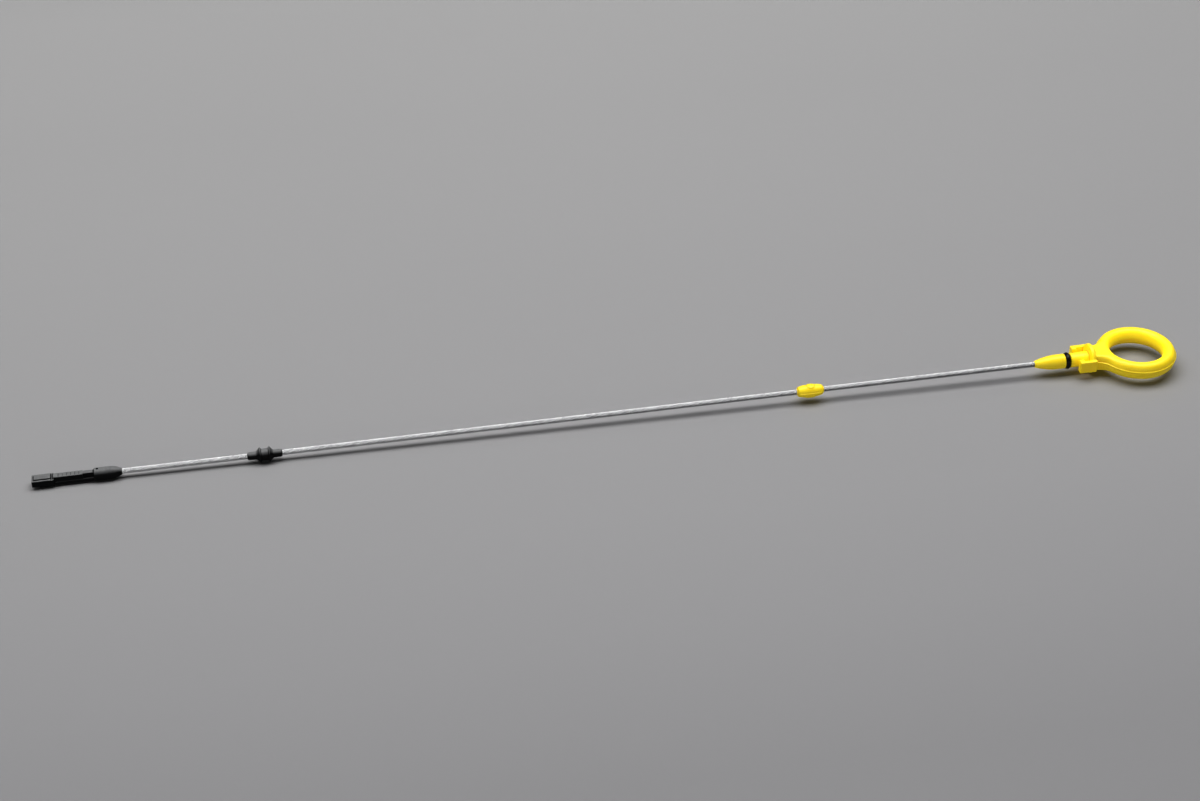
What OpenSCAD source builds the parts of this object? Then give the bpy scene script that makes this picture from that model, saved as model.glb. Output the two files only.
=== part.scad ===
// Engine oil dipstick, lying at rest on the plane z = 0.
// The tip points towards -X, the finger ring towards +X, and the ring lies level.
// Every piece is drawn along the stick's own axis, with distance measured from the
// tip's end, and the whole is then laid down at the small angle at which it rests:
// on the foot of the measuring tip and on the rim of the flange.

/* [Stick] */
// Distance from the tip's end to the middle of the finger ring
ring_s = 543.4; // [480:0.1:620]
// Distance from the tip's end to the middle of the yellow bead
bead_s = 374.3; // [300:0.1:400]
// Distance from the tip's end to the middle of the black bobbin
bobbin_s = 107.9; // [80:0.1:200]
// Diameter of the steel strand
strand_d = 2.65; // [2:0.05:3]

/* [Finger ring] */
// Distance from the nose's tip to the middle of the ring
ring_at = 53.6; // [52.8:0.1:58]
// Radius of the ring at the middle of its section
ring_r = 16.4; // [15.5:0.1:17]
// Width of the ring's section, from the hole to the outer edge
ring_w = 6.6; // [6:0.1:8]
// Thickness of the ring's section
ring_t = 8.5; // [6:0.1:10]
// How square the section is, where 2 is an ellipse
ring_n = 2.3; // [2:0.1:4]
// Height of the mould's parting ridge above the ring
ridge_h = 0.25; // [0.1:0.05:0.35]
// Level of the parting ridge above the ring's middle
ridge_z = 0.6; // [0:0.1:1]
// Width of the neck between flange and ring
neck_w = 12.2; // [8:0.1:12.6]
// Thickness of the neck
neck_t = 8.0; // [6:0.1:8.5]
// Radius of the hollow corner between neck and ring
neck_fillet = 7; // [3:0.5:7.5]

/* [Flange and clip arms] */
// Distance from the nose's tip to the flange's front face
flange_at = 27.9; // [26:0.1:28.4]
// Radius of the flange
flange_r = 7.4; // [6.5:0.1:8]
// Thickness of the flange
flange_t = 2.2; // [2:0.1:3]
// Rounding of the flange's rim
flange_round = 0.6; // [0.3:0.1:1]
// Half the width across the two clip arms, outside to outside
arm_out = 8.4; // [8:0.1:9]
// Thickness of a clip arm
arm_t = 1.9; // [1.5:0.1:2.2]
// Height of a clip arm, square to the ring's plane
arm_h = 6.1; // [4:0.1:7]
// Length of a clip arm in front of the flange
arm_l = 6.4; // [5:0.1:8]
// How far the hook at an arm's free end turns inwards
hook_in = 1.5; // [0.5:0.1:2]
// Length of the hook along the arm
hook_l = 2.6; // [1.5:0.1:3]

/* [Barrel and seal] */
// Radius of the barrel between seal and flange
barrel_r = 3.65; // [3.2:0.05:3.9]
// Radius of the nose just in front of the seal
nose_r = 3.7; // [3.5:0.05:3.9]
// Distance from the nose's tip to the middle of the seal
seal_at = 17.1; // [15:0.1:18.5]
// Outer diameter of the rubber seal ring
seal_od = 8.4; // [8:0.1:9]
// Thickness of the rubber seal ring
seal_d = 2.4; // [1.8:0.1:2.5]
// How deep the strand reaches into the handle
strand_in = 20; // [12:0.5:24]

/* [Yellow bead] */
// Length of the bead
bead_l = 13.6; // [12.6:0.1:17]
// Radius of the bead at its middle
bead_r = 3.05; // [2.95:0.05:3.2]
// Radius of the two round bosses, above and below
bead_boss_r = 2.0; // [1.6:0.1:2.4]
// Height of a boss's face above the strand's axis
bead_boss_z = 3.4; // [3.3:0.05:3.7]
// Half the width across the bead's parting ridge
bead_ridge = 3.3; // [3.25:0.05:3.6]

/* [Black bobbin] */
// Radius of the two fins
fin_r = 3.75; // [3.2:0.05:3.8]
// Radius of the waist between the fins
waist_r = 2.9; // [2.4:0.05:3]
// Radius of the collars at either end
collar_r = 1.95; // [1.8:0.05:2.2]
// Distance between the fins' inner faces
waist_l = 3.8; // [3:0.1:6]
// Length of a fin from its rim to the foot of its cone
fin_l = 2.0; // [1.5:0.1:3]
// Length of each collar
collar_l = 4.4; // [3:0.1:6]

/* [Measuring tip] */
// Length of the flat-sided bar, up to the round collar
bar_l = 28.5; // [26:0.1:34]
// Length of the round collar that holds the strand
tip_collar_l = 12.8; // [10:0.1:16]
// Radius of the round collar
tip_collar_r = 3.1; // [2.8:0.05:3.15]
// Width of the bar's upright web
web_w = 3.5; // [3:0.1:4]
// Height of the web above and below the axis
web_z = 2.1; // [1.8:0.1:2.4]
// Half the width across the foot at the end of the bar
foot_y = 3.05; // [2.6:0.05:3.2]
// Depth of the foot's underside below the axis, on which the stick rests
foot_z = 2.95; // [2.7:0.05:3.1]
// Length of the foot
foot_l = 10; // [8:0.1:12]
// Distance from the end to the lower mark, a notch across the web
low_mark = 9.2; // [8.5:0.1:12]
// Distance from the end to the start of the upper mark, a narrow waist
high_mark = 23.4; // [22:0.1:25]
// Number of shallow grooves across the web between the marks
groove_n = 6; // [4:1:7]

/* [Hidden] */

nose_s = ring_s - ring_at;                 // the nose's tip
flange_s = nose_s + flange_at;             // flange's front face
seal_s = nose_s + seal_at;
strand_a = bar_l + 1;                      // the strand starts inside the tip's collar
strand_b = nose_s + strand_in;
ring_out = ring_r + ring_w / 2;
rim_s = flange_s + flange_round;           // where the rim meets the surface
lie_a = atan((flange_r - foot_z) / rim_s); // slope of the axis at rest
mid_x = (ring_s + ring_out + ridge_h) * cos(lie_a) / 2;
groove_bottom = seal_od / 2 - seal_d;      // the seal sits on it

function sgn(v) = v < 0 ? -1 : 1;
// closed outline of a section between an ellipse and a rectangle
function squircle(a, b, n, m) = [for (i = [0 : m - 1]) let (t = 360 * i / m)
    [a * sgn(cos(t)) * pow(abs(cos(t)), 2 / n), b * sgn(sin(t)) * pow(abs(sin(t)), 2 / n)]];
function arc(cx, cy, r, a0, a1, m) = [for (i = [0 : m]) let (t = a0 + (a1 - a0) * i / m)
    [cx + r * cos(t), cy + r * sin(t)]];

// lays what is drawn along the axis down on the plane z = 0
module laid() {
    translate([-mid_x, 0, foot_z * cos(lie_a)]) rotate([0, -lie_a, 0]) children();
}
// turns an outline of [radius, distance along the axis] about the axis
module turned(pts) { rotate([0, 90, 0]) rotate_extrude($fn = 96) polygon(pts); }
// straight round bar about the axis
module rod(r, a, b) { translate([a, 0, 0]) rotate([0, 90, 0]) cylinder(r = r, h = b - a, $fn = 96); }

// ---- handle ----
module finger_ring() {
    translate([ring_s, 0, 0]) {
        rotate_extrude($fn = 128)
            translate([ring_r, 0]) polygon(squircle(ring_w / 2, ring_t / 2, ring_n, 24));
        translate([0, 0, ridge_z]) rotate_extrude($fn = 128)
            polygon([[ring_out - 0.4, -0.3], [ring_out + ridge_h, 0], [ring_out - 0.4, 0.3]]);
    }
}

module neck() {
    cy = neck_w / 2 + neck_fillet;                       // centre of the hollow corner
    ro = ring_out - 0.35;                                // it runs out just inside the ring
    cx = ring_s - sqrt(pow(ro + neck_fillet, 2) - cy * cy);
    ta = asin(cy / (ro + neck_fillet));                  // bearing of its touch point on the ring
    side = concat([[flange_s + 0.5, neck_w / 2], [cx, neck_w / 2]],
        arc(cx, cy, neck_fillet, -90, -ta, 10),
        [[ring_s - ring_r * cos(ta), ring_r * sin(ta)]]);
    outline = concat(side, [for (i = [len(side) - 1 : -1 : 0]) [side[i][0], -side[i][1]]]);
    rise = [[flange_s, neck_t / 2 - 0.4], [flange_s + 5, neck_t / 2 - 0.2], [ring_s - ring_r + 0.3, ring_t / 2 - 0.15]];
    lift = concat(rise, [for (i = [2 : -1 : 0]) [rise[i][0], -rise[i][1]]]);
    // the neck's edges are stepped by a second, thicker and narrower layer
    intersection() {
        union() {
            translate([0, 0, -neck_t / 2 + 1.2]) linear_extrude(neck_t - 2.4) polygon(outline);
            linear_extrude(ring_t + 2, center = true)
                polygon([for (p = outline) [p[0], p[1] - 1.1 * sgn(p[1])]]);
        }
        rotate([90, 0, 0]) linear_extrude(40, center = true) polygon(lift);
    }
}

module flange() {
    r = flange_round;
    turned(concat([[0, flange_s]],
        arc(flange_r - r, flange_s + r, r, -90, 0, 5),
        arc(flange_r - r, flange_s + flange_t - r, r, 0, 90, 5),
        [[0, flange_s + flange_t]]));
}

module clip_arm() {
    a = flange_s - arm_l;
    i = arm_out - arm_t;
    linear_extrude(arm_h, center = true) polygon([
        [flange_s + flange_t, 0], [flange_s + flange_t, arm_out - 0.5], [flange_s + flange_t - 0.5, arm_out],
        [a + 0.5, arm_out], [a, arm_out - 0.6], [a, i - hook_in + 0.9], [a + 1.1, i - hook_in],
        [a + hook_l - 0.5, i - hook_in], [a + hook_l, i], [flange_s, i], [flange_s, 0]]);
}

module body_of_barrel() {
    b = seal_s - seal_d / 2;
    turned([[0, nose_s], [1.45, nose_s], [1.7, nose_s + 0.3], [2.05, nose_s + 1.5], [2.5, nose_s + 3.2],
        [2.95, nose_s + 5.1], [3.3, nose_s + 7.0], [nose_r - 0.12, nose_s + 9.0], [nose_r, nose_s + 10.8],
        [nose_r, b - 0.5], [nose_r - 0.2, b - 0.25], [barrel_r, b + 0.1], [barrel_r, flange_s + 1], [0, flange_s + 1]]);
}

module handle() {
    color([0.96, 0.86, 0.05]) laid() difference() {
        union() {
            finger_ring();
            neck();
            flange();
            for (m = [0, 1]) mirror([0, m, 0]) clip_arm();
            body_of_barrel();
        }
        // groove of the seal ring
        turned([[groove_bottom, seal_s - seal_d / 2 - 0.15], [barrel_r + 2, seal_s - seal_d / 2 - 0.15],
            [barrel_r + 2, seal_s + seal_d / 2 + 0.15], [groove_bottom, seal_s + seal_d / 2 + 0.15]]);
        // the strand is moulded in
        rod(strand_d / 2, nose_s - 1, strand_b);
    }
}

// ---- rubber seal ----
module seal_ring() {
    color([0.05, 0.05, 0.05]) laid() translate([seal_s, 0, 0]) rotate([0, 90, 0])
        rotate_extrude($fn = 96) translate([seal_od / 2 - seal_d / 2, 0]) circle(r = seal_d / 2, $fn = 48);
}

// ---- steel strand ----
module strand() {
    color([0.75, 0.76, 0.78]) laid() rod(strand_d / 2, strand_a, strand_b);
}

// ---- yellow bead ----
module guide_bead() {
    a = bead_s - bead_l / 2;
    b = bead_s + bead_l / 2;
    color([0.96, 0.86, 0.05]) laid() difference() {
        union() {
            turned([[0, a], [1.5, a], [1.6, a + 0.1], [1.6, a + 0.5], [2.0, a + 0.55], [2.3, a + 0.8], [2.6, a + 1.7],
                [bead_r - 0.16, a + 2.9], [bead_r - 0.04, a + 4.1], [bead_r, a + 5.4], [bead_r, b - 5.4],
                [bead_r - 0.04, b - 4.1], [bead_r - 0.16, b - 2.9], [2.6, b - 1.7], [2.3, b - 0.8], [2.0, b - 0.55],
                [1.6, b - 0.5], [1.6, b - 0.1], [1.5, b], [0, b]]);
            // parting ridge round the bead's sides
            linear_extrude(0.6, center = true) polygon([[a + 0.6, -2.0], [a + 0.9, -2.5], [a + 1.9, -2.9],
                [a + 3.4, -bead_ridge], [b - 3.4, -bead_ridge], [b - 1.9, -2.9], [b - 0.9, -2.5], [b - 0.6, -2.0],
                [b - 0.6, 2.0], [b - 0.9, 2.5], [b - 1.9, 2.9], [b - 3.4, bead_ridge], [a + 3.4, bead_ridge],
                [a + 1.9, 2.9], [a + 0.9, 2.5], [a + 0.6, 2.0]]);
            // bosses above and below, their faces arched across so that they pass through a round tube
            intersection() {
                union() {
                    translate([bead_s, 0, 0]) cylinder(r = bead_boss_r, h = 4, $fn = 64);
                    translate([bead_s, 0, -4]) cylinder(r = bead_boss_r + 0.6, h = 4, $fn = 64);
                }
                rod(bead_boss_z, a, b);
            }
        }
        // dimple in the upper boss
        translate([bead_s, 0, 0]) rotate_extrude($fn = 64)
            polygon([[0, bead_boss_z - 0.6], [bead_boss_r - 1.1, bead_boss_z - 0.6],
                [bead_boss_r - 0.7, bead_boss_z + 0.1], [0, bead_boss_z + 0.1]]);
        rod(strand_d / 2, a - 1, b + 1);
    }
}

// ---- black bobbin ----
module guide_bobbin() {
    h = waist_l / 2;
    half = [[waist_r, 0], [waist_r, h - 0.35], [waist_r + 0.2, h - 0.1], [fin_r - 0.15, h], [fin_r, h + 0.12],
        [fin_r, h + 0.4], [fin_r - 0.15, h + 0.55], [fin_r - 1.0, h + 1.15], [collar_r + 0.3, h + fin_l - 0.3],
        [collar_r, h + fin_l], [collar_r, h + fin_l + collar_l - 0.9], [collar_r - 0.2, h + fin_l + collar_l - 0.2],
        [strand_d / 2 + 0.2, h + fin_l + collar_l]];
    // the same outline on both sides of the middle
    pts = concat([[0, bobbin_s - h - fin_l - collar_l]],
        [for (i = [len(half) - 1 : -1 : 1]) [half[i][0], bobbin_s - half[i][1]]],
        [for (i = [1 : len(half) - 1]) [half[i][0], bobbin_s + half[i][1]]],
        [[0, bobbin_s + h + fin_l + collar_l]]);
    color([0.09, 0.09, 0.1]) laid() difference() {
        turned(pts);
        rod(strand_d / 2, bobbin_s - 20, bobbin_s + 20);
    }
}

// ---- measuring tip ----
module measuring_tip() {
    c = bar_l;
    e = bar_l + tip_collar_l;
    pitch = (high_mark - low_mark - 3.6) / groove_n;
    color([0.09, 0.09, 0.1]) laid() difference() {
        union() {
            // upright web
            translate([0, -web_w / 2, -web_z]) cube([bar_l + 1, web_w, 2 * web_z]);
            // foot: a round bar cut flat above and below, stepped up at the very end
            intersection() {
                rod(3.3, 0, foot_l);
                rotate([90, 0, 0]) linear_extrude(2 * foot_y, center = true) polygon([[0, -1.4], [3.0, -1.5],
                    [3.5, -foot_z], [foot_l - 0.5, -foot_z], [foot_l, -foot_z + 0.5], [foot_l, 1.3],
                    [foot_l - 0.3, 1.6], [0.3, 1.6], [0, 1.3]]);
            }
            // thin floor between foot and collar, behind which the web stands
            translate([foot_l - 1, -web_w / 2 - 0.35, -web_z]) cube([bar_l - foot_l + 2, web_w + 0.7, 1.6]);
            // round collar with a bullet end
            turned([[0, c], [tip_collar_r - 0.3, c], [tip_collar_r, c + 0.3], [tip_collar_r, c + 7.6],
                [tip_collar_r - 0.15, c + 9.0], [tip_collar_r - 0.5, c + 10.4], [tip_collar_r - 0.95, c + 11.5],
                [1.75, e - 0.3], [1.6, e], [0, e]]);
        }
        // lower mark
        translate([low_mark - 0.6, -5, web_z - 0.7]) cube([1.2, 10, 2]);
        // shallow grooves between the marks
        for (i = [0 : groove_n - 1]) translate([low_mark + 2.6 + pitch * (i + 0.5), 0, web_z - 0.3])
            rotate([90, 0, 0]) linear_extrude(10, center = true) polygon([[0, 0], [0.45, 0.5], [-0.45, 0.5]]);
        // upper mark: the web narrows on both sides
        for (m = [0, 1]) mirror([0, m, 0])
            translate([high_mark, web_w / 2 - 0.55, -web_z + 1.6]) cube([bar_l - high_mark, 3, 6]);
        // small locating hole on top of the collar
        translate([c + 1.6, 0, tip_collar_r - 0.9]) cylinder(r = 0.5, h = 2, $fn = 32);
        rod(strand_d / 2, strand_a, e + 1);
    }
}

handle();
seal_ring();
strand();
guide_bead();
guide_bobbin();
measuring_tip();
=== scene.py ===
import bpy
import math
import numpy as np
from mathutils import Vector, Matrix


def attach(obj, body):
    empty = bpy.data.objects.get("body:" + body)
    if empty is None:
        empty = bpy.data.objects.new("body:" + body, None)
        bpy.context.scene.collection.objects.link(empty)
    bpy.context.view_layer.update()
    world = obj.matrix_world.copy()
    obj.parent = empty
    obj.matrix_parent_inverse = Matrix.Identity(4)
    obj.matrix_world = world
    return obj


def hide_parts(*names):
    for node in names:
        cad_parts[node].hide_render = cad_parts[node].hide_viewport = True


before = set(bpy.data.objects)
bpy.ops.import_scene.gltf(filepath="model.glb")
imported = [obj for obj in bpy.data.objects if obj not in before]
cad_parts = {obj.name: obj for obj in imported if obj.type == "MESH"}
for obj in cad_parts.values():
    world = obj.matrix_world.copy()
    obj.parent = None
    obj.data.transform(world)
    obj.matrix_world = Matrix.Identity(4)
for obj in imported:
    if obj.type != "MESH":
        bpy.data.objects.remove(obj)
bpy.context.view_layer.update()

# ---------------------------------------------------------------------------
# Millimetres along the stick's axis (s from the tip's end, y to the back, z up)
# ---------------------------------------------------------------------------
RING = 543.4
RING_OUT = 19.68
RING_HALF = 3.29
RING_HOLE = 13.1
NOSE = 489.8
FLANGE = 517.7
FLANGE_R = 7.38
SEAL = 506.9
FOOT_Z = 2.95
LIE = math.atan((7.4 - FOOT_Z) / (FLANGE + 0.6))
CA, SA = math.cos(LIE), math.sin(LIE)
MID = (RING + 19.7 + 0.25) * CA / 2


def laid(p):
    """From the stick's own axis to the row frame, in metres."""
    x = -MID + p[:, 0] * CA - p[:, 2] * SA
    z = FOOT_Z * CA + p[:, 0] * SA + p[:, 2] * CA
    return np.stack([x, p[:, 1], z], 1) / 1000.0


def step01(a, b, x):
    t = np.clip((x - a) / (b - a), 0, 1)
    return t * t * (3 - 2 * t)


def join(a, b, k):
    h = np.clip(0.5 + 0.5 * (b - a) / k, 0, 1)
    return b + (a - b) * h - k * h * (1 - h)


def cut(a, b, k):
    """What is inside both a and b, with the edge rounded."""
    return -join(-a, -b, k)


def rounded_box(s, y, z, lo, hi, r):
    q = [np.abs(v - (a + b) / 2) - (b - a) / 2 + r for v, a, b in zip((s, y, z), lo, hi)]
    out = np.sqrt(sum(np.maximum(v, 0) ** 2 for v in q))
    return out + np.minimum(np.maximum(np.maximum(q[0], q[1]), q[2]), 0) - r


def rounded_disc(s, rho, a, b, rad, r):
    q0 = np.abs(s - (a + b) / 2) - (b - a) / 2 + r
    q1 = rho - rad + r
    return np.hypot(np.maximum(q0, 0), np.maximum(q1, 0)) + np.minimum(np.maximum(q0, q1), 0) - r


def turned(s, rho, ss, rr):
    """Distance to a body of revolution whose radius follows the table, open at its ends."""
    r = np.interp(s, ss, rr)
    slope = (np.interp(s + 0.05, ss, rr) - np.interp(s - 0.05, ss, rr)) / 0.1
    return (rho - r) / np.sqrt(1 + slope ** 2)


# ---------------------------------------------------------------------------
# Solid shapes as signed distances
# ---------------------------------------------------------------------------
NOSE_S = [NOSE, NOSE + 0.3, NOSE + 0.8, NOSE + 1.6, NOSE + 2.7, NOSE + 4.7, NOSE + 7.2, NOSE + 9.2, NOSE + 10.6, NOSE + 14]
NOSE_R = [1.4, 1.66, 1.86, 2.1, 2.4, 2.88, 3.34, 3.58, 3.69, 3.7]
NECK_HALF = 6.12
FILLET = 7.0


def handle(s, y, z):
    ay = np.abs(y)
    rho = np.hypot(y, z)
    # ring and neck share one outline, seen from above
    r = np.hypot(s - RING, y)
    cy = NECK_HALF + FILLET
    cx = RING - math.sqrt((RING_OUT + FILLET) ** 2 - cy * cy)
    ws, wy = s - cx, ay - cy
    tx, ty = (RING - cx), -cy
    in_fillet = (ws > 0) & (ws * ty - wy * tx > 0) & (wy < 0)
    neck = np.maximum(np.maximum(ay - NECK_HALF, 516.5 - s), s - RING)
    d2 = np.where(in_fillet, FILLET - np.hypot(ws, wy), np.minimum(r - RING_OUT, neck))
    t = step01(520.8, 528.5, s)
    d2 = d2 + (0.2 + 0.35 * (1 - t)) * step01(0.85, 1.1, z)
    a_out = 1.9 + (RING_HALF - 1.9) * t
    n = 4.2 + (2.35 - 4.2) * t
    b = 4.12 + 0.13 * t
    u = np.maximum(1 + d2 / a_out, 0)
    v = np.maximum(1 - (r - RING_HOLE) / RING_HALF, 0)
    m = np.maximum(u, v)
    w = np.abs(z) / b
    g = np.maximum(m ** n + w ** n, 1e-9) ** (1 / n)
    slope = g ** (1 - n) * np.sqrt((m ** (n - 1) / np.where(u > v, a_out, RING_HALF)) ** 2 + (w ** (n - 1) / b) ** 2)
    plate = (g - 1) / np.maximum(slope, 0.12)
    # the mould's parting ridge round the outside
    plate = plate - 0.24 * (1 - step01(0.22, 0.38, np.abs(z - 0.6))) * step01(0.55, 0.8, u) * step01(519.5, 520.5, s)
    plate = np.maximum(plate, 518.2 - s)
    # flange, clip arms and the bridge that carries them
    body = rounded_disc(s, rho, FLANGE, 519.9, FLANGE_R, 0.75)
    body = join(body, rounded_box(s, ay, z, (FLANGE + 0.1, -2, -3.05), (519.9, 8.35, 3.05), 0.35), 0.25)
    arm = rounded_box(s, ay, z, (511.3, 6.4, -3.05), (519.9, 8.35, 3.05), 0.35)
    hook = rounded_box(s, ay, z, (511.3, 5.0, -3.05), (513.8, 8.0, 3.05), 0.35)
    body = join(body, join(arm, hook, 0.3), 0.3)
    body = join(body, plate, 0.35)
    # barrel with its nose and seal groove
    barrel = turned(s, rho, NOSE_S, NOSE_R)
    barrel = cut(barrel, rho - 3.7 + 0.06 * step01(508.0, 508.3, s), 0.05)
    barrel = cut(barrel, NOSE - s, 0.25)
    barrel = np.maximum(barrel, s - 519.0)
    groove = -rounded_box(s, rho, 0 * s, (SEAL - 1.4, 1.82, -9), (SEAL + 1.4, 9, 9), 0.2)
    barrel = cut(barrel, groove, 0.12)
    return join(body, barrel, 0.35)


BEAD = 374.3


def bead(s, y, z):
    x = s - BEAD
    ax = np.abs(x)
    rho = np.hypot(y, z)
    # barrel with rounded, blunt ends and a short collar at either end
    body = turned(ax, rho, [0, 2.5, 3.8, 4.8, 5.5, 6.0, 6.3], [3.05, 3.03, 2.94, 2.74, 2.54, 2.4, 2.32])
    body = cut(body, ax - 6.3, 0.6)
    body = join(body, rounded_disc(s, rho, BEAD - 6.78, BEAD + 6.78, 1.6, 0.2), 0.2)
    # parting ledge on both sides
    body = body - 0.26 * (1 - step01(0.2, 0.34, np.abs(z))) * step01(0.2, 1.2, 6.2 - ax) * step01(1.4, 2.0, np.abs(y))
    # a low round boss above and another below
    rb = np.hypot(x, y)
    boss = cut(rb - np.where(z > 0, 1.98, 2.4), rho - np.where(z > 0, 3.39, 3.25), 0.3)
    body = join(body, boss, np.where(z > 0, 0.3, 1.2))
    dimple = np.sqrt(rb ** 2 + (z - 3.85) ** 2) - 1.15
    return cut(body, -dimple, 0.15)


BOB = 107.9


def tip(s, y, z):
    ay = np.abs(y)
    rho = np.hypot(y, z)
    web = rounded_box(s, ay, z, (0.9, -1.75, -2.1), (29.5, 1.75, 2.1), 0.28)
    # upper mark: the web is narrowed on both sides
    waist = rounded_box(s, ay, z, (23.4, 1.2, -0.45), (28.6, 6, 6), 0.15)
    web = cut(web, -waist, 0.12)
    # foot: a round bar cut flat, stepped up at the very end
    foot = rho - 3.3
    foot = cut(foot, z - 1.6, 0.2)
    foot = cut(foot, -FOOT_Z - z, 0.3)
    foot = cut(foot, ay - 3.1, 0.3)
    foot = cut(foot, s - 10.1, 0.3)
    foot = cut(foot, -s, 0.3)
    step = rounded_box(s, y, z, (-2, -9, -9), (3.3, 9, -1.5), 0.3)
    foot = cut(foot, -step, 0.3)
    body = join(web, foot, 0.25)
    # thin floor that ties foot and collar
    floor = rounded_box(s, ay, z, (9, -2.1, -2.1), (29.5, 2.1, -0.5), 0.3)
    body = join(body, floor, 0.3)
    # lower mark
    notch = rounded_box(s, y, z, (8.65, -9, 1.45), (9.85, 9, 9), 0.12)
    body = cut(body, -notch, 0.12)
    # shallow cross grooves between the marks
    wave = np.cos((s - 12.2) * 2 * math.pi / 1.9)
    body = body + 0.11 * np.clip(wave, 0, 1) ** 2 * step01(1.7, 2.0, z) * step01(11.0, 11.6, s) * step01(22.9, 22.3, s)
    # round collar with a bullet end
    collar = turned(s, rho, [28.5, 36.0, 37.5, 38.9, 40.0, 40.8, 41.3], [3.1, 3.1, 2.95, 2.6, 2.15, 1.8, 1.6])
    collar = cut(collar, 28.5 - s, 0.45)
    collar = cut(collar, s - 41.3, 0.2)
    body = join(body, collar, 0.2)
    hole = np.hypot(s - 30.1, y) - 0.55
    hole = np.maximum(hole, 2.3 - z)
    return cut(body, -hole, 0.15)


# ---------------------------------------------------------------------------
# From a signed distance to a mesh
# ---------------------------------------------------------------------------
def skin(f, lo, hi, h, level=None, rounds=1):
    """Quads over the surface f = 0. level is a height that falls in the middle of a layer of cells."""
    lo, hi = np.array(lo, float), np.array(hi, float)
    if level is not None:
        lo[2] = level - h * (math.ceil((level - lo[2]) / h) + 0.5)
    n = np.ceil((hi - lo) / h).astype(int) + 2
    axes = [lo[i] + h * np.arange(n[i]) for i in range(3)]
    val = np.empty(n, np.float32)
    for i in range(0, n[0], 24):
        x, y, z = np.meshgrid(axes[0][i:i + 24], axes[1], axes[2], indexing="ij")
        val[i:i + 24] = f(x, y, z)
    neg = val < 0
    shape = np.array(n) - 1
    count = np.zeros(shape, np.int8)
    corners = [(a, b, c) for a in (0, 1) for b in (0, 1) for c in (0, 1)]
    for a, b, c in corners:
        count += neg[a:a + shape[0], b:b + shape[1], c:c + shape[2]]
    active = (count > 0) & (count < 8)
    cells = np.argwhere(active)
    index = np.full(shape, -1, np.int64)
    index[active] = np.arange(len(cells))
    acc = np.zeros((len(cells), 3))
    num = np.zeros(len(cells))
    for a in corners:
        for ax in range(3):
            if a[ax]:
                continue
            b = list(a)
            b[ax] = 1
            va = val[tuple((cells + a).T)].astype(float)
            vb = val[tuple((cells + b).T)].astype(float)
            hit = (va < 0) != (vb < 0)
            t = va[hit] / (va[hit] - vb[hit])
            p = np.tile(np.array(a, float), (int(hit.sum()), 1))
            p[:, ax] += t
            acc[hit] += p
            num[hit] += 1
    verts = lo + h * (cells + acc / num[:, None])
    quads = []
    for ax in range(3):
        o1, o2 = [(1, 2), (2, 0), (0, 1)][ax]
        sl0 = [slice(None)] * 3
        sl1 = [slice(None)] * 3
        sl0[ax], sl1[ax] = slice(0, n[ax] - 1), slice(1, n[ax])
        change = neg[tuple(sl0)] != neg[tuple(sl1)]
        e = np.argwhere(change)
        keep = (e[:, o1] > 0) & (e[:, o2] > 0) & (e[:, o1] < shape[o1]) & (e[:, o2] < shape[o2])
        e = e[keep]
        d1, d2 = np.zeros(3, int), np.zeros(3, int)
        d1[o1], d2[o2] = 1, 1
        q = np.stack([index[tuple((e - k).T)] for k in (0 * d1, d1, d1 + d2, d2)], 1)
        first = neg[tuple(e.T)]
        q[~first] = q[~first][:, ::-1]
        quads.append(q)
    quads = np.concatenate(quads)

    def settle(p, times):
        for _ in range(times):
            v = f(p[:, 0], p[:, 1], p[:, 2])
            gr = slope_at(f, p)
            gg = np.maximum((gr ** 2).sum(1), 0.04)
            move = -(v / gg)[:, None] * gr
            far = np.linalg.norm(move, axis=1)
            move *= np.minimum(1, 0.5 * h / np.maximum(far, 1e-9))[:, None]
            p = p + move
        return p

    verts = settle(verts, 4)
    for _ in range(rounds):
        total, many = np.zeros_like(verts), np.zeros(len(verts))
        for k in range(4):
            i, j = quads[:, k], quads[:, (k + 1) % 4]
            for a, b in ((i, j), (j, i)):
                many += np.bincount(a, minlength=len(verts))
                for c in range(3):
                    total[:, c] += np.bincount(a, weights=verts[b, c], minlength=len(verts))
        verts = settle(0.5 * verts + 0.5 * total / many[:, None], 3)
    return verts, quads


def slope_at(f, p, e=0.02):
    g = np.empty_like(p)
    for i in range(3):
        d = np.zeros(3)
        d[i] = e
        a, b = p + d, p - d
        g[:, i] = (f(a[:, 0], a[:, 1], a[:, 2]) - f(b[:, 0], b[:, 1], b[:, 2])) / (2 * e)
    return g


def hollowness(f, p, reach):
    """0.5 on a flat face, towards 1 in an inner corner and towards 0 on an outer edge."""
    g = slope_at(f, p)
    g /= np.maximum(np.linalg.norm(g, axis=1), 1e-6)[:, None]
    q = p + g * reach
    v = f(q[:, 0], q[:, 1], q[:, 2])
    e = 0.35 * reach
    lap = np.zeros(len(p))
    for i in range(3):
        d = np.zeros(3)
        d[i] = e
        a, b = p + d, p - d
        lap += f(a[:, 0], a[:, 1], a[:, 2]) + f(b[:, 0], b[:, 1], b[:, 2])
    lap -= 6 * f(p[:, 0], p[:, 1], p[:, 2])
    return np.clip(0.5 + 0.5 * (1 - v / reach) - 0.25 * np.clip(lap / e, -1, 1), 0, 1)


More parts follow.
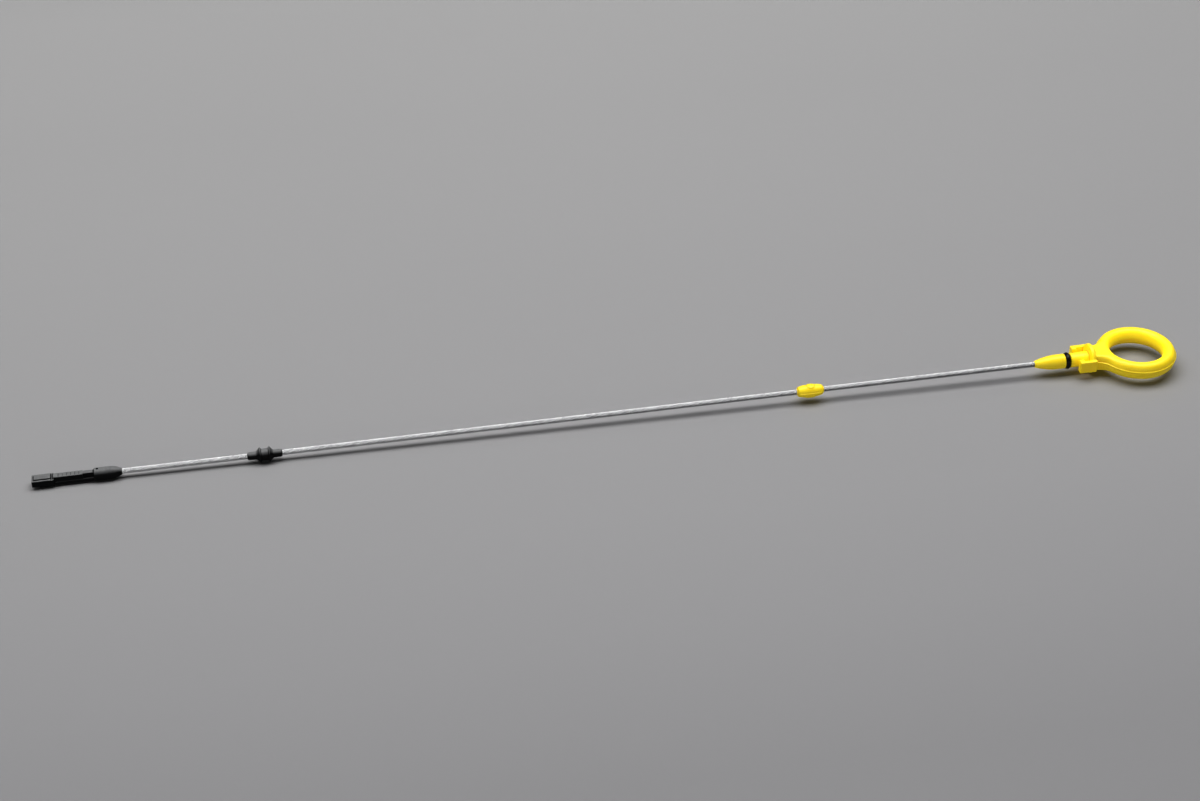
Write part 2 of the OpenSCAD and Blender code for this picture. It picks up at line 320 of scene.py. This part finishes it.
def mesh(name, verts, faces, hollow_depth=None, smooth=True, glow=None):
    """A new mesh object from points along the stick, laid down in the row frame."""
    me = bpy.data.meshes.new(name)
    me.from_pydata(laid(verts).tolist(), [], np.asarray(faces).tolist() if isinstance(faces, np.ndarray) else faces)
    me.polygons.foreach_set("use_smooth", [smooth] * len(me.polygons))
    # the hollow attribute holds how deep a point lies in a hollow; the yellow and steel finishes use it for painted
    # shade, the black finish to keep its painted sheen out of corners
    if hollow_depth is not None:
        att = me.attributes.new("hollow", "FLOAT", "POINT")
        att.data.foreach_set("value", np.asarray(hollow_depth, np.float32))
    if glow is not None:
        att = me.attributes.new("glow", "FLOAT", "POINT")
        att.data.foreach_set("value", np.asarray(glow, np.float32))
    me.update()
    ob = bpy.data.objects.new(name, me)
    bpy.context.scene.collection.objects.link(ob)
    return ob


def lathe(points, sides):
    """Quads of a body turned about the axis from [s, radius] points, closed where the radius is nothing."""
    verts, faces = [], []
    n = len(points)
    ang = 2 * math.pi * np.arange(sides) / sides
    for s, r in points:
        for a in ang:
            verts.append((s, r * math.cos(a), r * math.sin(a)))
    for i in range(n - 1):
        for j in range(sides):
            k = (j + 1) % sides
            faces.append((i * sides + j, i * sides + k, (i + 1) * sides + k, (i + 1) * sides + j))
    faces.append(tuple(range(sides))[::-1])
    faces.append(tuple((n - 1) * sides + j for j in range(sides)))
    return np.array(verts), faces


def rounded(points, radius, steps=4):
    """Rounds the corners of a profile of [s, r] points by up to radius."""
    out = [points[0]]
    for p, q, w in zip(points[:-2], points[1:-1], points[2:]):
        p, q, w = np.array(p, float), np.array(q, float), np.array(w, float)
        a, b = p - q, w - q
        la, lb = np.linalg.norm(a), np.linalg.norm(b)
        k = min(radius, 0.45 * la, 0.45 * lb)
        p1, p2 = q + a / la * k, q + b / lb * k
        for i in range(steps + 1):
            t = i / steps
            out.append(tuple((1 - t) ** 2 * p1 + 2 * t * (1 - t) * q + t * t * p2))
    out.append(points[-1])
    return out


# ---------------------------------------------------------------------------
# Materials
# ---------------------------------------------------------------------------
class Nodes:
    def __init__(self, name):
        self.mat = bpy.data.materials.new(name)
        self.mat.use_nodes = True
        self.tree = self.mat.node_tree
        self.bsdf = self.tree.nodes["Principled BSDF"]
        self.coord = self.tree.nodes.new("ShaderNodeTexCoord")

    def new(self, kind, **kw):
        nd = self.tree.nodes.new(kind)
        for k, v in kw.items():
            setattr(nd, k, v)
        return nd

    def link(self, a, b):
        self.tree.links.new(a, b)

    def noise(self, scale, detail=4, rough=0.55, stretch=(1, 1, 1), distortion=0.0):
        m = self.new("ShaderNodeMapping")
        m.inputs["Scale"].default_value = stretch
        self.link(self.coord.outputs["Object"], m.inputs["Vector"])
        t = self.new("ShaderNodeTexNoise")
        t.inputs["Scale"].default_value = scale
        t.inputs["Detail"].default_value = detail
        t.inputs["Roughness"].default_value = rough
        t.inputs["Distortion"].default_value = distortion
        self.link(m.outputs["Vector"], t.inputs["Vector"])
        return t.outputs["Fac"]

    def ramp(self, fac, stops):
        r = self.new("ShaderNodeValToRGB")
        el = r.color_ramp.elements
        for pos, col in stops[1:-1]:
            el.new(pos)
        for e, (pos, col) in zip(el, stops):
            e.position = pos
            e.color = (*col, 1.0) if len(col) == 3 else col
        self.link(fac, r.inputs["Fac"])
        return r.outputs["Color"]

    def span(self, fac, lo, hi, a=0.0, b=1.0):
        m = self.new("ShaderNodeMapRange")
        m.inputs["From Min"].default_value = a
        m.inputs["From Max"].default_value = b
        m.inputs["To Min"].default_value = lo
        m.inputs["To Max"].default_value = hi
        self.link(fac, m.inputs["Value"])
        return m.outputs["Result"]

    def mix(self, fac, a, b, kind="MIX"):
        m = self.new("ShaderNodeMix", data_type="RGBA", blend_type=kind)
        if isinstance(fac, float):
            m.inputs["Factor"].default_value = fac
        else:
            self.link(fac, m.inputs["Factor"])
        for sock, val in ((m.inputs["A"], a), (m.inputs["B"], b)):
            pass
        col = [i for i in m.inputs if i.type == "RGBA"]
        for sock, val in zip(col, (a, b)):
            if isinstance(val, tuple):
                sock.default_value = (*val, 1.0)
            else:
                self.link(val, sock)
        return [o for o in m.outputs if o.type == "RGBA"][0]

    def math(self, op, a, b):
        m = self.new("ShaderNodeMath", operation=op)
        for sock, val in zip(m.inputs, (a, b)):
            if isinstance(val, float):
                sock.default_value = val
            else:
                self.link(val, sock)
        return m.outputs[0]

    def bumps(self, *layers):
        """layers: (height, metres). The first is the largest."""
        normal = None
        for height, dist in layers:
            b = self.new("ShaderNodeBump")
            b.inputs["Strength"].default_value = 1.0
            b.inputs["Distance"].default_value = dist
            self.link(height, b.inputs["Height"])
            if normal is not None:
                self.link(normal, b.inputs["Normal"])
            normal = b.outputs["Normal"]
        self.link(normal, self.bsdf.inputs["Normal"])

    def attribute(self, name):
        a = self.new("ShaderNodeAttribute", attribute_name=name)
        return a.outputs["Fac"]


def yellow_plastic(name):
    m = Nodes(name)
    cloud = m.noise(140, 3, 0.5)
    fine = m.noise(2600, 3, 0.6)
    peel = m.noise(1100, 2, 0.5)
    col = m.ramp(cloud, [(0.30, (0.93, 0.71, 0.020)), (0.70, (0.95, 0.75, 0.030))])
    speck = m.ramp(fine, [(0.60, (1, 1, 1)), (0.80, (0.93, 0.91, 0.85))])
    col = m.mix(1.0, col, speck, "MULTIPLY")
    # painted shade: inner corners and creases are painted a darker orange, where shade falls
    hollow = m.span(m.attribute("hollow"), 0.0, 1.0, 0.62, 1.0)
    col = m.mix(hollow, col, (0.55, 0.30, 0.002))
    m.link(col, m.bsdf.inputs["Base Color"])
    m.link(m.span(m.noise(420, 5, 0.6), 0.36, 0.52, 0.3, 0.7), m.bsdf.inputs["Roughness"])
    m.bsdf.inputs["Subsurface Weight"].default_value = 0.3
    m.bsdf.inputs["Subsurface Radius"].default_value = (0.0020, 0.0018, 0.0003)
    m.bsdf.inputs["Subsurface Scale"].default_value = 1.0
    m.bsdf.inputs["Specular IOR Level"].default_value = 0.5
    # painted glow: the yellow plastic is made to glow a little everywhere, and more where the glow attribute is high,
    # standing in for light bounced between yellow faces and carried through the plastic
    m.bsdf.inputs["Emission Color"].default_value = (1.0, 0.80, 0.02, 1.0)
    m.link(m.span(m.attribute("glow"), 0.10, 0.34), m.bsdf.inputs["Emission Strength"])
    m.bumps((peel, 0.000012), (fine, 0.000008))
    return m.mat


def black_plastic(name, base=(0.0030, 0.0033, 0.0039), rough=(0.3, 0.5)):
    m = Nodes(name)
    cloud = m.noise(500, 4, 0.6)
    fine = m.noise(2400, 4, 0.65)
    streak = m.noise(900, 3, 0.5, (0.12, 1, 1))
    light = tuple(c * 1.9 for c in base)
    col = m.ramp(cloud, [(0.35, base), (0.75, light)])
    dust = m.ramp(fine, [(0.58, (0, 0, 0)), (0.78, (0.03, 0.03, 0.03))])
    col = m.mix(0.5, col, dust, "ADD")
    # faces that look up, on the higher parts and away from inner corners, are painted a lighter grey in cloudy
    # patches: partly dust, partly a painted sheen of the light from above
    up = m.new("ShaderNodeSeparateXYZ")
    m.link(m.new("ShaderNodeNewGeometry").outputs["Normal"], up.inputs["Vector"])
    dust_and_sheen = m.span(up.outputs["Z"], 0.0, 1.0, 0.42, 0.92)
    dust_and_sheen = m.math("MULTIPLY", dust_and_sheen, m.span(m.attribute("hollow"), 1.0, 0.0, 0.55, 0.85))
    patchy = m.span(cloud, 0.75, 1.0, 0.3, 0.6)
    high = m.new("ShaderNodeSeparateXYZ")
    m.link(m.coord.outputs["Object"], high.inputs["Vector"])
    patchy = m.math("MULTIPLY", patchy, m.span(high.outputs["Z"], 0.25, 1.0, 0.0032, 0.0040))
    col = m.mix(m.math("MULTIPLY", dust_and_sheen, patchy), col, (0.19, 0.193, 0.197))
    m.link(col, m.bsdf.inputs["Base Color"])
    m.link(m.span(streak, rough[0], rough[1], 0.3, 0.7), m.bsdf.inputs["Roughness"])
    m.bsdf.inputs["Specular IOR Level"].default_value = 0.1
    m.bumps((streak, 0.00002), (fine, 0.000012))
    return m.mat


def seal_rubber():
    m = Nodes("seal_rubber")
    fine = m.noise(3200, 4, 0.6)
    cloud = m.noise(700, 3, 0.5)
    col = m.ramp(cloud, [(0.3, (0.004, 0.004, 0.0045)), (0.7, (0.009, 0.009, 0.0095))])
    m.link(col, m.bsdf.inputs["Base Color"])
    m.link(m.span(cloud, 0.22, 0.38, 0.3, 0.7), m.bsdf.inputs["Roughness"])
    m.bsdf.inputs["Specular IOR Level"].default_value = 0.3
    m.bumps((fine, 0.000006))
    return m.mat


def strand_steel():
    m = Nodes("strand_steel")
    along = m.noise(260, 4, 0.6)
    fine = m.noise(2800, 4, 0.7, (0.15, 1, 1))
    col = m.ramp(along, [(0.25, (0.46, 0.465, 0.475)), (0.75, (0.60, 0.605, 0.615))])
    dull = m.ramp(fine, [(0.55, (1, 1, 1)), (0.85, (0.72, 0.72, 0.74))])
    col = m.mix(1.0, col, dull, "MULTIPLY")
    # painted shade: the grooves between the wires are painted near-black, where shade falls
    groove = m.span(m.attribute("hollow"), 0.0, 0.8, 0.45, 1.0)
    col = m.mix(groove, col, (0.10, 0.10, 0.105))
    m.link(col, m.bsdf.inputs["Base Color"])
    m.bsdf.inputs["Metallic"].default_value = 1.0
    m.link(m.span(fine, 0.16, 0.28, 0.3, 0.7), m.bsdf.inputs["Roughness"])
    m.bumps((fine, 0.000008))
    return m.mat


def floor_paint():
    m = Nodes("studio_floor")
    soft = m.noise(1.1, 2, 0.5)
    fine = m.noise(420, 3, 0.6)
    col = m.ramp(soft, [(0.3, (0.300, 0.299, 0.302)), (0.7, (0.310, 0.309, 0.312))])
    tooth = m.ramp(fine, [(0.3, (0.985, 0.985, 0.985)), (0.7, (1, 1, 1))])
    col = m.mix(1.0, col, tooth, "MULTIPLY")
    # painted light falloff: the floor is painted paler towards the back and a little darker and bluer towards the
    # front, where the light falls off
    at = m.new("ShaderNodeSeparateXYZ")
    m.link(m.coord.outputs["Object"], at.inputs["Vector"])
    grey = [(0.004, 0.839, 0.858), (0.056, 0.872, 0.891), (0.12, 0.910, 0.928), (0.227, 0.949, 0.965),
            (0.497, 0.990, 1.000), (0.769, 1.051, 1.057), (0.918, 1.108, 1.112), (1.0, 1.142, 1.146)]
    painted_falloff = m.ramp(m.span(at.outputs["Y"], 0.0, 1.0, -0.25, 0.52), [(t, (c, c, b)) for t, c, b in grey])
    col = m.mix(1.0, col, painted_falloff, "MULTIPLY")
    m.link(col, m.bsdf.inputs["Base Color"])
    m.link(m.span(fine, 0.62, 0.74, 0.3, 0.7), m.bsdf.inputs["Roughness"])
    m.bsdf.inputs["Specular IOR Level"].default_value = 0.3
    m.bumps((fine, 0.00003))
    return m.mat


def place(ob, node, mat):
    ob.data.materials.append(mat)
    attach(ob, "root")
    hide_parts(node)
    return ob


def shaped(name, f, lo, hi, h, level=None, rounds=1, reach=0.8, glow=None):
    v, q = skin(f, lo, hi, h, level, rounds)
    return mesh(name, v, q, hollowness(f, v, reach), glow=None if glow is None else glow(v))


def enclosed(v):
    """High where yellow faces look at each other and pass light on: the finger hole's wall, and between the arms. It
    drives the painted glow that stands in for that bounced light.
    """
    s, ay, z = v[:, 0], np.abs(v[:, 1]), v[:, 2]
    r = np.hypot(s - RING, v[:, 1])
    ring = step01(RING_HOLE + 3.6, RING_HOLE + 1.2, r) * step01(-1.6, 1.2, z)
    arms = step01(510.0, 514.0, s) * step01(518.6, 517.9, s) * step01(7.6, 6.6, ay) * step01(-2.5, 0.5, z)
    return np.maximum(ring, 0.85 * arms)


handle_ob = shaped("handle_look", handle, (488.5, -21.3, -8.6), (564.6, 21.3, 8.6), 0.27, 0.65, glow=enclosed)
place(handle_ob, "handle", yellow_plastic("handle_plastic"))

bead_ob = shaped("bead_look", bead, (366.9, -4.0, -4.1), (381.7, 4.0, 4.1), 0.11, 0.0)
place(bead_ob, "guide_bead", yellow_plastic("bead_plastic"))

tip_ob = shaped("tip_look", tip, (-0.7, -4.0, -3.9), (42.2, 4.0, 3.9), 0.13)
place(tip_ob, "measuring_tip", black_plastic("tip_plastic"))

half = [(0.0, 2.9), (1.62, 2.9), (1.86, 3.3), (1.92, 3.72), (2.28, 3.72), (3.1, 2.75), (3.8, 2.1), (4.3, 1.95), (7.3, 1.95), (8.0, 1.72), (8.2, 1.45), (8.2, 0.9)]
full = [(BOB - a, r) for a, r in half[::-1]] + [(BOB + a, r) for a, r in half[1:]]
bv, bf = lathe(rounded(full, 0.22, 4), 96)
bob_ob = mesh("bobbin_look", bv, bf)
place(bob_ob, "guide_bobbin", black_plastic("bobbin_plastic", (0.0030, 0.0032, 0.0037), (0.26, 0.46)))


def torus(cs, radius, section, flat, n=128, k=32):
    v, q = [], []
    for i in range(n):
        a = 2 * math.pi * i / n
        for j in range(k):
            b = 2 * math.pi * j / k
            r = radius + section * math.cos(b)
            v.append((cs + flat * section * math.sin(b), r * math.cos(a), r * math.sin(a)))
            q.append((i * k + j, i * k + (j + 1) % k, ((i + 1) % n) * k + (j + 1) % k, ((i + 1) % n) * k + j))
    return np.array(v), q


sv, sf = torus(SEAL, 3.0, 1.18, 1.02)
seal_ob = mesh("seal_look", sv, sf)
place(seal_ob, "seal_ring", seal_rubber())


def twisted_strand(a, b, wires, radius, lay, step):
    """The outside of a strand: round wires laid side by side in a helix."""
    wire = radius * math.sin(math.pi / wires) / (1 + math.sin(math.pi / wires))
    centre = radius - wire
    phis = np.radians(np.array([-1.0, -0.86, -0.62, -0.32, 0.0, 0.32, 0.62, 0.86]) * 180 / wires)
    ring, deep = [], []
    for w in range(wires):
        for p in phis:
            under = max(wire ** 2 * 1.02 - (centre * math.sin(p)) ** 2, 0)
            r = centre * math.cos(p) + math.sqrt(under)
            ring.append((2 * math.pi * w / wires + p, min(r, radius)))
    ang = np.array([q[0] for q in ring])
    rad = np.array([q[1] for q in ring])
    low = rad.min()
    deep = (radius - rad) / (radius - low)
    n = int(round((b - a) / step)) + 1
    s = np.linspace(a, b, n)
    m = len(ang)
    turn = 2 * math.pi * s / lay
    th = ang[None, :] + turn[:, None]
    v = np.stack([np.repeat(s[:, None], m, 1), rad * np.cos(th), rad * np.sin(th)], 2).reshape(-1, 3)
    i, j = np.meshgrid(np.arange(n - 1), np.arange(m), indexing="ij")
    k = (j + 1) % m
    q = np.stack([i * m + j, i * m + k, (i + 1) * m + k, (i + 1) * m + j], -1).reshape(-1, 4).tolist()
    q.append(tuple(range(m))[::-1])
    q.append(tuple((n - 1) * m + j for j in range(m)))
    return v, q, np.tile(deep, n)


tv, tf, tw = twisted_strand(29.8, 509.6, 12, 1.325, 24.0, 1.25)
strand_ob = mesh("strand_look", tv, tf, tw)
place(strand_ob, "strand", strand_steel())

# every carried-over node is stood for by a piece above, and has the same finish
for node, ob in (("handle", handle_ob), ("seal_ring", seal_ob), ("strand", strand_ob),
                 ("guide_bead", bead_ob), ("guide_bobbin", bob_ob), ("measuring_tip", tip_ob)):
    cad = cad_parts[node]
    cad.data.materials.clear()
    cad.data.materials.append(ob.data.materials[0])

# ---------------------------------------------------------------------------
# Floor, light and camera
# ---------------------------------------------------------------------------
fm = bpy.data.meshes.new("floor")
gx = np.linspace(-4, 4, 41)
fv = [(x, y, 0.0) for y in gx for x in gx]
ff = [(j * 41 + i, j * 41 + i + 1, (j + 1) * 41 + i + 1, (j + 1) * 41 + i) for j in range(40) for i in range(40)]
fm.from_pydata(fv, [], ff)
floor_ob = bpy.data.objects.new("floor", fm)
bpy.context.scene.collection.objects.link(floor_ob)
fm.materials.append(floor_paint())

world = bpy.data.worlds.new("studio")
bpy.context.scene.world = world
world.use_nodes = True
bg = world.node_tree.nodes["Background"]
bg.inputs["Color"].default_value = (0.95, 0.97, 1.0, 1)
bg.inputs["Strength"].default_value = 0.006


def soft_box(name, where, target, size, watts, colour=(1, 1, 1)):
    data = bpy.data.lights.new(name, "AREA")
    data.shape = "RECTANGLE"
    data.size, data.size_y = size
    data.energy = watts
    data.color = colour
    ob = bpy.data.objects.new(name, data)
    ob.location = where
    ob.rotation_mode = "QUATERNION"
    ob.rotation_quaternion = (Vector(where) - Vector(target)).to_track_quat("Z", "Y")
    bpy.context.scene.collection.objects.link(ob)
    return ob


soft_box("key", (0.05, 0.24, 1.4), (0.05, 0.08, 0.0), (2.4, 1.1), 41.0, (1.0, 0.995, 0.985))
soft_box("back", (0.3, 1.6, 1.2), (0.05, 0.0, 0.0), (3.0, 0.7), 4.0, (0.985, 0.99, 1.0))
soft_box("left", (-1.7, 0.2, 0.75), (0.15, 0.0, 0.0), (1.1, 1.0), 2.5, (0.99, 0.995, 1.0))
soft_box("front", (-0.3, -2.2, 0.44), (0.0, 0.0, 0.05), (3.0, 0.75), 10.0, (1.0, 0.99, 0.97))
view = bpy.context.scene.view_settings
view.view_transform = "Standard"
view.gamma = 0.8

cam_data = bpy.data.cameras.new("photo")
cam_data.sensor_fit = "HORIZONTAL"
cam_data.sensor_width = 36.0
cam_data.lens = 67.0
cam_data.clip_start, cam_data.clip_end = 0.05, 20.0
cam = bpy.data.objects.new("photo", cam_data)
cam.location = (-0.1813, -0.8734, 0.6184)
cam.rotation_mode = "QUATERNION"
cam.rotation_quaternion = Vector((0.15704, 0.81203, -0.56208)).to_track_quat("-Z", "Y")
bpy.context.scene.collection.objects.link(cam)
bpy.context.scene.camera = cam
